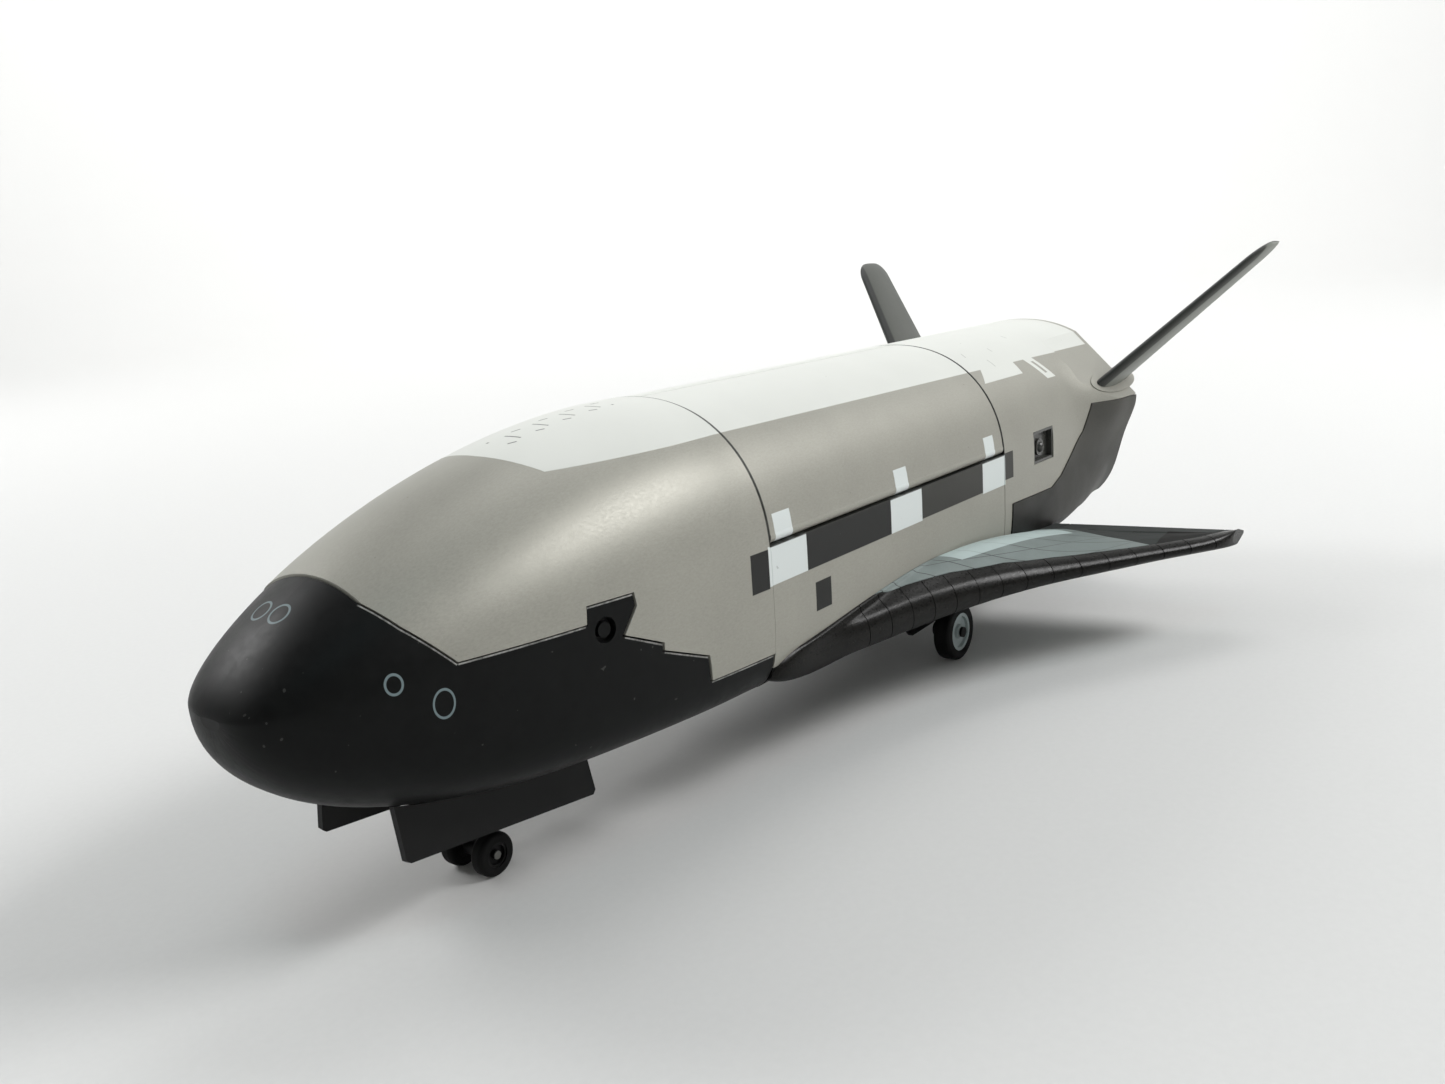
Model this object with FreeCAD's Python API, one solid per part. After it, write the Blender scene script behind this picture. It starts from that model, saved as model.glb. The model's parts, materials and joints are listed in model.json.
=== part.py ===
"""Display model of a small winged re-entry spaceplane, on its wheels, in millimetres.

+X is forward, +Y is port, +Z is up, and the ground is Z = 0. Lengthwise places are stations: the distance aft of
the nose tip. The outside of the body is one family of cross-sections, and each shell is a length of that family
less its own hollow, so that the shells meet flush. Starboard pieces are mirror images of the port pieces.
"""

import FreeCAD, Part
import math
import os

from FreeCAD import Vector

# Overall
LENGTH = 128.0
NOSE_X = LENGTH / 2
WALL = 1.1
SEAM = 0.12

# Body cross-sections: half width, highest and lowest lines, and how square the section is
HALF_WIDTH = 12.77
TOP_Z = 32.43
BELLY_Z = 8.22
TIP_Z = 18.46
WIDEST_Z = 20.02
WIDTH_GROWTH = (43.14, 1.75, 2.84)
TOP_GROWTH = (37.71, 1.84, 1.45)
BELLY_GROWTH = (22.40, 2.41, 2.22)
SHOULDER = 44.21
UPPER_ROUND = (2.05, 2.18)
LOWER_ROUND = (2.42, 6.18)
TAIL_ROUND = 2.85
TAIL_TAPER = (96.0, 115.0)
POD_BULGE = 2.5
POD_TAPER = (101.0, 111.5)
POD_Z = 24.0
POD_SPREAD = 5.0
OUTLINE_POINTS = 44

# Stations of the shells
BAY_FRONT = 40.5
BAY_REAR = 82.9
BODY_END = 115.75
SHIELD_TOP = 10.8
SILL_Z = 20.95

# Payload-bay doors
DOOR_WALL = 1.0
DOOR_AXIS_Y = 12.19
DOOR_AXIS_Z = 21.6
BEAD_R = 0.55
ROD_R = 0.30
RUNNING_GAP = 0.04

# Tail fins
FIN_FACE = 38.0
FIN_ROOT = (108.0, 118.0)
FIN_TIP = (122.0, 129.0)
FIN_SPAN = 21.3
FIN_THICK = (1.5, 1.0)
FIN_GAP = 0.15
FIN_STRAIGHT = 0.87
FIN_TIP_STEPS = 6
FIN_POINTS = 24
FIN_PIVOT = 112.6
SPINDLE_R = 0.55

# Wings
WING_Z = 10.2
WING_ROOT_Y = 10.2
WING_TIP_Y = 31.9
LEADING_EDGE = [(10.2, 40.7), (12.4, 41.1), (13.0, 46.9), (13.7, 51.7), (14.8, 58.1), (16.5, 65.8),
                (19.9, 75.1), (23.7, 81.9), (27.8, 88.9), (30.6, 93.6), (31.9, 97.4)]
TRAILING_EDGE = (97.3, 0.21)
BAND_INNER = [(40.0, 9.0), (52.6, 9.0), (53.7, 12.4), (60.2, 13.4), (66.4, 14.8), (73.3, 17.0), (78.5, 19.6),
              (83.3, 22.6), (88.5, 25.9), (94.0, 29.3), (97.0, 30.6), (102.5, 31.0)]
BAND_PIECES = 16
FLAP_SPAN = (14.0, 30.0)
FLAP_CHORD = (5.6, 3.4)
FLAP_PIN_R = 0.22
FLAP_PIN_DEPTH = 1.4

# Body flap under the tail
FLAP_AXIS = (117.0, 9.5)
FLAP_HALF_WIDTH = 6.0
FLAP_NOSE_R = 0.6
FLAP_END = 121.6

# Landing gear
NOSE_WHEEL = (18.65, 1.70)
NOSE_WHEEL_Y = 1.70
NOSE_WHEEL_WIDTH = 1.2
NOSE_PIVOT = (23.35, 11.6)
NOSE_WELL = (9.4, 25.8, 3.6, 13.9)
MAIN_WHEEL = (76.85, 3.0)
MAIN_WHEEL_Y = 9.5
MAIN_WHEEL_WIDTH = 1.8
MAIN_PIVOT = (75.55, 11.2)
MAIN_WELL = (72.4, 87.6, 6.8, 10.95, 14.3)
LINER = 0.5
PIN_R = 0.30
AXLE_R = 0.32

# Stand socket
SOCKET_STATION = 64.0
SOCKET_R = 2.0
SOCKET_DEPTH = 5.8


def at(station, y, z):
    return Vector(NOSE_X - station, y, z)


def ease(start, end, value):
    """0 before start, 1 after end, and a smooth step between them."""
    t = min(max((value - start) / (end - start), 0.0), 1.0)
    return t * t * (3 - 2 * t)


def growth(station, length, power, root):
    """How full the body is at a station: 0 at the nose tip, and 1 from station length on."""
    left = 1 - min(station / length, 1.0)
    return (1 - left ** power) ** (1 / root)


def mix(pair, t):
    return pair[0] + (pair[1] - pair[0]) * t


def outline(station, inset, pods):
    """Evenly spaced points round the body at a station, inset from the skin, from the crown round to starboard."""
    blend = ease(0, SHOULDER, station)
    half_width = HALF_WIDTH * growth(station, *WIDTH_GROWTH) - inset
    top = TIP_Z + (TOP_Z - TIP_Z) * growth(station, *TOP_GROWTH) - inset
    bottom = TIP_Z - (TIP_Z - BELLY_Z) * growth(station, *BELLY_GROWTH) + inset
    middle = mix((TIP_Z, WIDEST_Z), blend)
    upper = mix(UPPER_ROUND, blend)
    lower = mix((mix(LOWER_ROUND, blend), TAIL_ROUND), ease(*TAIL_TAPER, station))
    bulge = pods * POD_BULGE * ease(*POD_TAPER, station)
    fine = []
    steps = 720
    for i in range(steps):
        angle = 2 * math.pi * i / steps
        across, rise = -math.sin(angle), math.cos(angle)
        power, height = (upper, top - middle) if rise >= 0 else (lower, middle - bottom)
        y = half_width * math.copysign(abs(across) ** (2 / power), across)
        z = middle + height * math.copysign(abs(rise) ** (2 / power), rise)
        y += bulge * (y / half_width) * math.exp(-((z - POD_Z) / POD_SPREAD) ** 2)
        fine.append(at(station, y, z))
    return spread_evenly(fine + fine[:1], OUTLINE_POINTS)


def spread_evenly(line, count):
    """count points at equal distances along a closed line."""
    run = [0.0]
    for a, b in zip(line, line[1:]):
        run.append(run[-1] + a.distanceToPoint(b))
    points = []
    k = 0
    for i in range(count):
        goal = run[-1] * i / count
        while run[k + 1] < goal:
            k += 1
        t = (goal - run[k]) / (run[k + 1] - run[k])
        points.append(line[k] + (line[k + 1] - line[k]) * t)
    return points


def ring(station, inset, pods=0):
    curve = Part.BSplineCurve()
    curve.interpolate(Points=outline(station, inset, pods), PeriodicFlag=True)
    return Part.Wire(curve.toShape())


def loft(stations, inset, pods=0):
    return Part.makeLoft([ring(s, inset, pods) for s in stations], True, False)


def tube_of_body(start, end, inset):
    """The parallel middle length of the body, filled, between two stations."""
    face = Part.Face(ring(BAY_REAR, inset))
    solid = face.extrude(Vector(end - start, 0, 0))
    solid.translate(Vector(BAY_REAR - end, 0, 0))
    return solid


def box(start, end, y_low, y_high, z_low, z_high):
    corner = at(end, y_low, z_low)
    return Part.makeBox(end - start, y_high - y_low, z_high - z_low, corner)


def rod(start, end, radius):
    along = end - start
    return Part.makeCylinder(radius, along.Length, start, along)


def side_face(points, y):
    """A flat face from (station, height) points, in the plane across from the keel line."""
    corners = [at(s, y, z) for s, z in points]
    return Part.Face(Part.makePolygon(corners + corners[:1]))


def side_prism(points, y_low, y_high, grow=0.0):
    face = side_face(points, y_low)
    if grow:
        face = face.makeOffset2D(grow, join=2)
    return face.extrude(Vector(0, y_high - y_low, 0))


def plan_prism(points, z_low, z_high, grow=0.0):
    corners = [at(s, y, z_low) for s, y in points]
    face = Part.Face(Part.makePolygon(corners + corners[:1]))
    if grow:
        face = face.makeOffset2D(grow, join=2)
    return face.extrude(Vector(0, 0, z_high - z_low))


def mirrored(shape):
    return shape.mirror(Vector(0, 0, 0), Vector(0, 1, 0))


def save(name, *solids):
    """Writes one node: a single solid, or a compound of separate solids."""
    parts = []
    for solid in solids:
        parts.extend(solid.Solids)
    shape = parts[0] if len(parts) == 1 else Part.makeCompound(parts)
    shape.exportStep(os.path.join("parts", name + ".step"))


def save_pair(name, *solids):
    save(name + "_port", *solids)
    save(name + "_starboard", *[mirrored(s) for s in solids])


def both_sides(solids):
    return list(solids) + [mirrored(s) for s in solids]


# ---------------------------------------------------------------- forward body

NOSE_STATIONS = [0.02, 0.12, 0.4, 0.9, 1.7, 2.9, 4.5, 6.6, 9.2, 12.4, 16.2, 20.7, 25.8, 31.5, 36.5, BAY_FRONT]
HOLLOW_STATIONS = [2.4, 3.4, 4.8, 6.8, 9.4, 12.5, 16.2, 20.7, 25.8, 31.5, 36.5, BAY_FRONT]
UPPER_EDGE = [(8.15, 40.0), (8.15, 24.2), (9.15, 22.7), (11.55, 20.0), (21.15, 19.9), (21.35, 21.15), (25.55, 21.1),
              (25.65, 20.1), (24.35, 18.3), (27.95, 16.75), (27.95, 16.16), (32.55, 14.4), (32.85, 12.3),
              (41.5, 12.1), (41.5, 40.0)]
UPPER_PROUD = 0.10
RETAINING_PIN = (22.75, 19.1)
PIN_HEAD_R = 0.55
PIN_RECESS_R = 0.92
PIN_RECESS_DEPTH = 0.55


def nose_well_box(grow):
    front, rear, half, top = NOSE_WELL
    return box(front - grow, rear + grow, -half - grow, half + grow, 0, top + grow)


def main_well_box(grow):
    front, rear, inner, outer, top = MAIN_WELL
    return box(front - grow, rear + grow, inner - grow, outer + grow, 0, top + grow)


def build_forward_body():
    outer = loft(NOSE_STATIONS, 0)
    hollow = loft(HOLLOW_STATIONS, WALL)
    proud = loft([s for s in NOSE_STATIONS if s > 4], -UPPER_PROUD)
    upper = proud.common(side_prism(UPPER_EDGE, -20, 20)).cut(hollow)
    lower = outer.cut(hollow).cut(side_prism(UPPER_EDGE, -20, 20, SEAM))
    lower = lower.cut(nose_well_box(0))
    station, z = RETAINING_PIN
    recess = rod(at(station, 0, z), at(station, 20, z), PIN_RECESS_R)
    floor = loft([s for s in NOSE_STATIONS if s > 9], PIN_RECESS_DEPTH)
    recess = recess.cut(floor)
    lower = lower.cut(recess).cut(mirrored(recess))
    pin = rod(at(station, 9.0, z), at(station, 20, z), PIN_HEAD_R)
    pin = pin.common(loft([s for s in NOSE_STATIONS if s > 9], 0.12))
    lower = lower.cut(pin).cut(mirrored(pin))
    rods = door_rods()
    upper = upper.cut(rods[0]).cut(rods[1])
    save("nose_lower_shell", lower)
    save("forward_upper_shell", upper)
    save_pair("retaining_pin", pin)
    liner = nose_well_box(LINER).cut(nose_well_box(0)).common(hollow)
    save("nose_gear_bay", liner)


# ---------------------------------------------------------------- middle and aft body

AFT_STATIONS = [BAY_REAR, 86.0, 89.0, 92.0, 95.0, 98.0, 100.5, 102.5, 104.5, 106.5, 108.5, 110.5, 112.2, 114.0, BODY_END]
LINER_BOX = (41.6, 81.9, 10.9, 15.5, 20.85)
LINER_WALL = 0.5
FLOOR = (14.8, 15.5)
FRAME_INSET = 1.30
FRAME_THICK = 0.8
FAIRING_EDGE = [(105.3, 23.2), (103.55, 20.2), (100.5, 17.9), (97.5, 16.0), (94.9, 15.1), (84.7, 15.3),
                (84.5, SHIELD_TOP), (BODY_END + 1, SHIELD_TOP), (BODY_END + 1, 22.9)]
FAIRING_PROUD = 0.12
TRACKER = (90.35, 95.55, 18.5, 22.1)
TRACKER_DEPTH = 0.95
TRACKER_LENS = (92.75, 20.1)


def door_rods():
    """The two steel rods that the payload-bay doors turn on, with their ends let into the shells."""
    start = at(BAY_FRONT - 1.2, DOOR_AXIS_Y, DOOR_AXIS_Z)
    end = at(BAY_REAR + 1.2, DOOR_AXIS_Y, DOOR_AXIS_Z)
    return both_sides([rod(start, end, ROD_R)])


def build_bay():
    ring_wall = tube_of_body(BAY_FRONT + SEAM, BAY_REAR - SEAM, 0)
    ring_wall = ring_wall.cut(tube_of_body(BAY_FRONT, BAY_REAR, WALL))
    panel = ring_wall.common(box(BAY_FRONT, BAY_REAR, 0, 20, SHIELD_TOP, SILL_Z))
    save_pair("mid_side_panel", panel)

    frame = box(BAY_FRONT + 0.2, BAY_REAR - 0.2, -20, 20, FLOOR[0], FLOOR[1])
    frame = frame.common(tube_of_body(BAY_FRONT, BAY_REAR, WALL))
    for start in (BAY_FRONT + 0.2, BAY_REAR - 0.2 - FRAME_THICK):
        frame = frame.fuse(tube_of_body(start, start + FRAME_THICK, FRAME_INSET))
    for well in both_sides([main_well_box(LINER)]):
        frame = frame.cut(well)
    save("bay_frame", frame.removeSplitter())

    front, rear, half, low, high = LINER_BOX
    liner = box(front, rear, -half, half, low, high)
    hollow = box(front + LINER_WALL, rear - LINER_WALL, LINER_WALL - half, half - LINER_WALL, low + LINER_WALL, 30)
    save("payload_bay_liner", liner.cut(hollow))

    bead_start = at(BAY_FRONT + SEAM, DOOR_AXIS_Y, DOOR_AXIS_Z)
    bead_end = at(BAY_REAR - SEAM, DOOR_AXIS_Y, DOOR_AXIS_Z)
    door = tube_of_body(BAY_FRONT + SEAM, BAY_REAR - SEAM, 0)
    door = door.cut(tube_of_body(BAY_FRONT, BAY_REAR, DOOR_WALL))
    door = door.common(box(BAY_FRONT, BAY_REAR, SEAM / 2, 20, DOOR_AXIS_Z, 40))
    door = door.fuse(rod(bead_start, bead_end, BEAD_R))
    door = door.cut(rod(bead_start, bead_end, ROD_R + RUNNING_GAP))
    save_pair("bay_door", door)
    save("bay_hinge_rods", *door_rods())


def fin_plane_box(lift):
    """Everything outboard of the flat that the port fin stands on, lift above it."""
    depth = 30.0
    slab = Part.makeBox(40, 60, depth, Vector(-20, -30, 0))
    slab.rotate(Vector(0, 0, 0), Vector(1, 0, 0), -45)
    away = (FIN_FACE / math.sqrt(2) + lift) / math.sqrt(2)
    slab.translate(Vector(NOSE_X - FIN_PIVOT - 12, away, away))
    return slab


def pod_cap(lift_low, lift_high, grow=0.0):
    """The long oval disc that closes the top of the port tail pod, round the fin's spindle."""
    long_r, short_r = 6.4 + grow, 1.75 + grow
    ellipse = Part.Ellipse(Vector(0, 0, 0), long_r, short_r).toShape()
    disc = Part.Face(Part.Wire(ellipse)).extrude(Vector(0, 0, lift_high - lift_low))
    disc.rotate(Vector(0, 0, 0), Vector(1, 0, 0), -45)
    disc.translate(fin_point(113.0, 0, lift_low))
    return disc


def fin_point(station, thick, span):
    """A point of the port fin from its station, its place across the thickness, and its height above the flat."""
    root_half = FIN_FACE / 2
    inboard = 6.0
    y = root_half - inboard + (span - thick) / math.sqrt(2)
    z = root_half + inboard + (span + thick) / math.sqrt(2)
    return at(station, y, z)


def build_aft_body():
    outer = loft(AFT_STATIONS, 0, 1)
    proud = loft(AFT_STATIONS, -FAIRING_PROUD, 1)
    hollow = loft(AFT_STATIONS, WALL)
    above_shield = box(BAY_REAR, BODY_END + 1, -20, 20, SHIELD_TOP, 40)
    fin_flat = fin_plane_box(0).common(box(104.6, 130, 0, 30, 15, 60))
    socket_hole = rod(fin_point(FIN_PIVOT, 0, -4), fin_point(FIN_PIVOT, 0, 1), SPINDLE_R + 0.12)
    cap = pod_cap(-0.8, 0.12).cut(rod(fin_point(FIN_PIVOT, 0, -4), fin_point(FIN_PIVOT, 0, 1),
                                      SPINDLE_R + RUNNING_GAP))
    shell = outer.cut(hollow).common(above_shield)
    fairing = proud.cut(hollow).common(side_prism(FAIRING_EDGE, 4, 20)).common(above_shield)
    fairing = fairing.cut(fin_flat)
    fairing_gap = side_prism(FAIRING_EDGE, 4, 20, 0.05)
    for cutter in (fairing_gap, fin_flat, pod_cap(-0.8, 2.0), socket_hole):
        shell = shell.cut(cutter).cut(mirrored(cutter))
    for hinge in door_rods():
        shell = shell.cut(hinge)
    fairing = fairing.cut(pod_cap(-0.8, 2.0)).cut(socket_hole)
    start, end, low, high = TRACKER
    pocket = box(start, end, HALF_WIDTH - TRACKER_DEPTH, 20, low, high)
    shell = shell.cut(pocket)
    save("aft_fuselage_shell", shell)
    save_pair("aft_side_fairing", fairing)
    save_pair("tail_pod_cap", cap)

    plate = box(start, end, HALF_WIDTH - TRACKER_DEPTH, HALF_WIDTH - 0.1, low, high)
    opening = box(start + 0.3, end - 0.3, HALF_WIDTH - TRACKER_DEPTH + 0.25, 20, low + 0.3, high - 0.3)
    lens_station, lens_z = TRACKER_LENS
    lens_floor = at(lens_station, HALF_WIDTH - TRACKER_DEPTH + 0.25, lens_z)
    save("star_tracker_housing", plate.cut(opening).common(outer))
    dome = Part.makeSphere(0.62, lens_floor + Vector(0, 0.1, 0))
    dome = dome.common(box(start, end, lens_floor.y, 20, low, high))
    collar = rod(lens_floor, lens_floor + Vector(0, 0.3, 0), 0.95)
    save("star_tracker_lens", collar.fuse(dome).removeSplitter())


SCREWS = [(48.0, 6.5), (108.0, 4.5)]
SCREW_R = 0.9


def build_belly():
    middle = tube_of_body(BAY_FRONT + SEAM, BAY_REAR, 0).cut(tube_of_body(BAY_FRONT, BAY_REAR, WALL))
    outer = loft(AFT_STATIONS, 0, 1)
    hollow = loft(AFT_STATIONS, WALL)
    below = box(BAY_FRONT, BODY_END + 1, -20, 20, 0, SHIELD_TOP - 0.02)
    shield = middle.fuse(outer.cut(hollow)).common(below)
    for cutter in both_sides([main_well_box(0)]) + flap_lugs(0.04):
        shield = shield.cut(cutter)
    socket_top = BELLY_Z + SOCKET_DEPTH + 0.6
    boss = rod(at(SOCKET_STATION, 0, BELLY_Z), at(SOCKET_STATION, 0, socket_top), SOCKET_R + 1.0)
    bore = rod(at(SOCKET_STATION, 0, BELLY_Z - 1), at(SOCKET_STATION, 0, BELLY_Z + SOCKET_DEPTH), SOCKET_R)
    shield = shield.cut(boss)
    save("stand_socket", boss.cut(bore))
    heads = []
    for station, y in SCREWS:
        for side in (y, -y):
            head = rod(at(station, side, BELLY_Z - 2), at(station, side, BELLY_Z + 0.75), SCREW_R)
            shield = shield.cut(head)
            head = head.common(box(40, 116, -20, 20, BELLY_Z + 0.2, 20))
            shank = rod(at(station, side, BELLY_Z + 0.7), at(station, side, BELLY_Z + 3.0), SCREW_R / 2)
            slot = box(station - 0.7, station + 0.7, side - 0.12, side + 0.12, BELLY_Z, BELLY_Z + 0.45)
            cross = box(station - 0.12, station + 0.12, side - 0.7, side + 0.7, BELLY_Z, BELLY_Z + 0.45)
            shield = shield.cut(shank)
            heads.append(head.fuse(shank).cut(slot).cut(cross))
    save("belly_heat_shield", shield.removeSplitter())
    save("belly_screws", *heads)
    liner = main_well_box(LINER).cut(main_well_box(0))
    liner = liner.common(box(60, 100, 0, 20, BELLY_Z + WALL + 0.02, 20))
    inside = tube_of_body(60, BAY_REAR, WALL).fuse(loft([BAY_REAR, 88.0, 93.0], WALL))
    save_pair("main_gear_bay", liner.common(inside))


# ---------------------------------------------------------------- tail end

NOZZLE = [(114.9, 1.5), (116.0, 1.25), (117.2, 1.7), (118.6, 2.3), (120.6, 2.9)]
NOZZLE_WALL = 0.3
ENGINE_Z = 19.0
THRUSTERS = [(7.6, 22.6), (7.6, 16.0)]
BULKHEAD = (113.9, 114.9)


def bell(points, wall, y, z):
    """A nozzle turned about a line along X: its outer profile and a wall inside it."""
    outer = [Vector(NOSE_X - s, r, 0) for s, r in points]
    inner = [Vector(NOSE_X - s, r - wall, 0) for s, r in reversed(points)]
    curve_out, curve_in = Part.BSplineCurve(), Part.BSplineCurve()
    curve_out.interpolate(outer)
    curve_in.interpolate(inner)
    lip = Part.LineSegment(outer[-1], inner[0]).toShape()
    root = Part.LineSegment(inner[-1], outer[0]).toShape()
    wire = Part.Wire([curve_out.toShape(), lip, curve_in.toShape(), root])
    solid = Part.Face(wire).revolve(Vector(0, 0, 0), Vector(1, 0, 0), 360)
    solid.translate(Vector(0, y, z))
    return solid


def flap_lugs(grow=0.0):
    """The two ears on the bulkhead that carry the body flap's pin."""
    station, z = FLAP_AXIS
    half = FLAP_HALF_WIDTH
    lugs = []
    for y in (-half - 1.0, half + 0.15):
        low, high = y - grow, y + 0.85 + grow
        arm = box(BULKHEAD[1], station, low, high, z - FLAP_NOSE_R - grow, z + 2.2)
        eye = rod(at(station, low, z), at(station, high, z), FLAP_NOSE_R)
        lugs.append(arm.fuse(eye))
    return lugs


def build_tail_end():
    plate = loft([BODY_END - 2.6, BODY_END], WALL + 0.05)
    plate = plate.common(box(BULKHEAD[0], BULKHEAD[1], -20, 20, 0, 40))
    mount = rod(at(BULKHEAD[0], 0, ENGINE_Z), at(BULKHEAD[1] + 0.5, 0, ENGINE_Z), 2.6)
    throat = rod(at(BULKHEAD[0], 0, ENGINE_Z), at(BULKHEAD[1] + 1, 0, ENGINE_Z), 1.5)
    plate = plate.cut(mount)
    save("engine_mount_ring", mount.cut(throat))
    save("engine_nozzle", bell(NOZZLE, NOZZLE_WALL, 0, ENGINE_Z).fuse(
        rod(at(BULKHEAD[0], 0, ENGINE_Z), at(BULKHEAD[1] + 0.2, 0, ENGINE_Z), 1.45)))
    nozzles = []
    for y, z in THRUSTERS:
        for side in (y, -y):
            nozzles.append(bell([(114.9, 0.45), (115.6, 0.6), (116.4, 1.0)], 0.2, side, z))
    save("aft_thruster_nozzles", *nozzles)

    station, z = FLAP_AXIS
    half = FLAP_HALF_WIDTH
    pin = rod(at(station, -half - 1.0, z), at(station, half + 1.0, z), PIN_R)
    plate = plate.fuse(flap_lugs()).cut(pin).removeSplitter()
    save("aft_bulkhead", plate)
    save("body_flap_hinge_pin", pin)
    wedge = [(station, z - FLAP_NOSE_R), (FLAP_END, z - 0.2), (FLAP_END, z + 0.2), (station, z + FLAP_NOSE_R)]
    flap = side_prism(wedge, -half, half).fuse(rod(at(station, -half, z), at(station, half, z), FLAP_NOSE_R))
    flap = flap.cut(rod(at(station, -half, z), at(station, half, z), PIN_R + RUNNING_GAP))
    save("body_flap", flap.removeSplitter())


def fin_section(t, shrink=1.0):
    """A wire round the port fin at a fraction t of its span: blunt in front, thin behind."""
    front = mix((FIN_ROOT[0], FIN_TIP[0]), t)
    back = mix((FIN_ROOT[1], FIN_TIP[1]), t)
    middle = (front + back) / 2
    half_chord = (back - front) / 2 * (0.35 + 0.65 * shrink)
    half_thick = mix(FIN_THICK, t) / 2 * (0.15 + 0.85 * shrink)
    points = []
    for i in range(FIN_POINTS):
        angle = 2 * math.pi * i / FIN_POINTS
        along = math.cos(angle)
        thick = half_thick * math.sin(angle) * (1 - 0.35 * along)
        points.append(fin_point(middle + half_chord * along, thick, FIN_GAP + FIN_SPAN * t))
    curve = Part.BSplineCurve()
    curve.interpolate(Points=points, PeriodicFlag=True)
    return Part.Wire(curve.toShape())


def build_fins():
    blade = Part.makeLoft([fin_section(0.0), fin_section(FIN_STRAIGHT)], True, True)
    rounds = []
    for i in range(FIN_TIP_STEPS):
        turn = math.pi / 2 * i / FIN_TIP_STEPS
        rounds.append(fin_section(FIN_STRAIGHT + (1 - FIN_STRAIGHT) * math.sin(turn), math.cos(turn)))
    fin = blade.fuse(Part.makeLoft(rounds, True, False))
    spindle = rod(fin_point(FIN_PIVOT, 0, -2.6), fin_point(FIN_PIVOT, 0, 3.0), SPINDLE_R)
    save_pair("ruddervator", fin.cut(spindle))
    save_pair("ruddervator_spindle", spindle)


# ---------------------------------------------------------------- wings

def leading_edge(y):
    """Station of the wing's leading edge at a distance out from the keel line."""
    for (y0, s0), (y1, s1) in zip(LEADING_EDGE, LEADING_EDGE[1:]):
        if y <= y1:
            return s0 + (s1 - s0) * (y - y0) / (y1 - y0)
    return LEADING_EDGE[-1][1]


def trailing_edge(y):
    return TRAILING_EDGE[0] + TRAILING_EDGE[1] * (y - HALF_WIDTH)


def wing_heights(y, station):
    """Lower and upper heights of the wing: a round nose, a fuller middle by the body, and a thin trailing edge."""
    front, back = leading_edge(y), trailing_edge(y)
    chord = back - front
    u = min(max((station - front) / chord, 0.0), 1.0)
    nose_half = mix((1.25, 0.8), ease(14, WING_TIP_Y, y))
    nose_length = min(3.2, chord * 0.35)
    nose = math.sqrt(max(1 - (1 - min((station - front) / nose_length, 1.0)) ** 2, 0.0))
    taper = 1 - 0.82 * max((u - 0.45) / 0.55, 0.0)
    crown = 2.2 * math.exp(-((y - HALF_WIDTH) / 5.5) ** 2) if y > HALF_WIDTH else 2.2
    crown *= abs(math.sin(math.pi * u ** 0.9)) ** 1.5
    half = nose_half * nose * taper
    return WING_Z - half, WING_Z + half + crown


def wing_section(y):
    front, back = leading_edge(y), trailing_edge(y)
    chord = back - front
    steps = [0.0, 0.004, 0.015, 0.035, 0.07, 0.12, 0.2, 0.3, 0.42, 0.55, 0.7, 0.85, 1.0]
    upper = [at(front + chord * u, y, wing_heights(y, front + chord * u)[1]) for u in reversed(steps)]
    lower = [at(front + chord * u, y, wing_heights(y, front + chord * u)[0]) for u in steps[1:]]
    curve = Part.BSplineCurve()
    curve.interpolate(upper + lower)
    closing = Part.LineSegment(lower[-1], upper[0])
    return Part.Wire([curve.toShape(), closing.toShape()])


def flap_axis(y):
    """A point on the flaperon's hinge line, and the wing's half thickness there."""
    t = (y - FLAP_SPAN[0]) / (FLAP_SPAN[1] - FLAP_SPAN[0])
    station = trailing_edge(y) - mix(FLAP_CHORD, t)
    low, high = wing_heights(y, station)
    return at(station, y, (low + high) / 2), (high - low) / 2


def flap_cone(grow, past=0.0):
    start, r_start = flap_axis(FLAP_SPAN[0])
    end, r_end = flap_axis(FLAP_SPAN[1])
    along = end - start
    step = along / along.Length * past
    slope = (r_end - r_start) / along.Length * past
    return Part.makeCone(r_start - slope + grow, r_end + slope + grow, along.Length + 2 * past, start - step, along)


def flap_region(clear):
    """All of the wing behind the hinge line, between the flaperon's ends, with room round it."""
    start, end = flap_axis(FLAP_SPAN[0])[0], flap_axis(FLAP_SPAN[1])[0]
    low, high = FLAP_SPAN[0] - clear, FLAP_SPAN[1] + clear
    slope = (end.x - start.x) / (end.y - start.y)
    front = [(NOSE_X - (start.x + slope * (y - start.y)), y) for y in (low, high)]
    return plan_prism([front[0], front[1], (110.0, high), (110.0, low)], 0, 30)


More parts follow.
